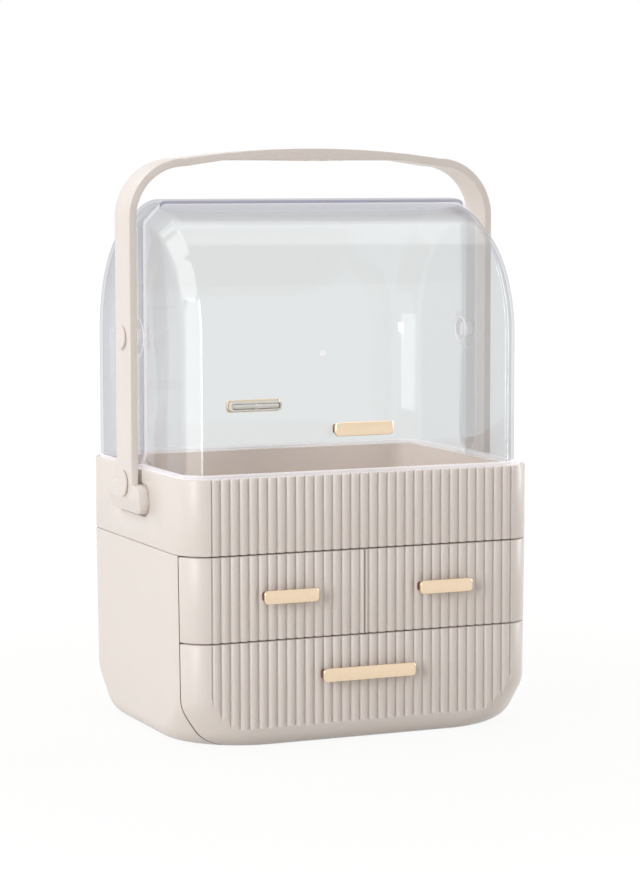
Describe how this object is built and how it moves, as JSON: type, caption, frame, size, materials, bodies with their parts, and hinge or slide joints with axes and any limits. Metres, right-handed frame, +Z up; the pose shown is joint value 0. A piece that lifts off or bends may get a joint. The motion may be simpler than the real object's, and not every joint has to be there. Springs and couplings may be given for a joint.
{
  "type": "beauty organizer with drawers",
  "caption": "Portable vanity organizer: ribbed cream body with drawers, open tray under a clear two-part swing cover, and a carrying handle.",
  "frame": {"origin": "middle of the flat underside of the cabinet", "axes": "+Z up, -Y towards the drawer fronts, +X to the right as seen from the front"},
  "size_m": [0.246, 0.186, 0.353],
  "materials": {
    "cream_plastic": "satin",
    "cream_inner": "satin",
    "clear_plastic": "gloss",
    "clear_pins": "gloss",
    "gold": "polished",
    "gold_neck": "polished"
  },
  "bodies": {
    "body": {"cabinet_shell": "cream_plastic", "mid_shelf": "cream_inner", "bay_divider": "cream_inner", "tray": "cream_plastic", "handle": "cream_plastic", "pivot_pin_left": "clear_pins", "pivot_pin_right": "clear_pins", "pivot_cap_left": "cream_plastic", "pivot_cap_right": "cream_plastic", "foot_cap_left": "cream_plastic", "foot_cap_right": "cream_plastic"},
    "upper_left_drawer": {"upper_left_front": "cream_plastic", "upper_left_box": "cream_inner", "upper_left_pull_neck": "gold_neck", "upper_left_pull_bar": "gold"},
    "upper_right_drawer": {"upper_right_front": "cream_plastic", "upper_right_box": "cream_inner", "upper_right_pull_neck": "gold_neck", "upper_right_pull_bar": "gold"},
    "lower_drawer": {"lower_front": "cream_plastic", "lower_box": "cream_inner", "lower_pull_neck": "gold_neck", "lower_pull_bar": "gold"},
    "front_half": {"front_cover": "clear_plastic", "front_cover_pull_neck": "gold_neck", "front_cover_pull_bar": "gold"},
    "rear_half": {"rear_cover": "clear_plastic", "rear_cover_pull_neck": "gold_neck", "rear_cover_pull_bar": "gold"}
  },
  "joints": [
    {"name": "upper_left_slide", "type": "slide", "parent": "body", "child": "upper_left_drawer", "axis": [0, -1, 0], "range_m": [0, 0.105]},
    {"name": "upper_right_slide", "type": "slide", "parent": "body", "child": "upper_right_drawer", "axis": [0, -1, 0], "range_m": [0, 0.105]},
    {"name": "lower_slide", "type": "slide", "parent": "body", "child": "lower_drawer", "axis": [0, -1, 0], "range_m": [0, 0.105]},
    {"name": "front_cover_hinge", "type": "hinge", "parent": "body", "child": "front_half", "pos_m": [0, 0, 0.2395], "axis": [1, 0, 0], "range_deg": [-90, 0]},
    {"name": "rear_cover_hinge", "type": "hinge", "parent": "body", "child": "rear_half", "pos_m": [0, 0, 0.2395], "axis": [1, 0, 0], "range_deg": [0, 90]}
  ]
}
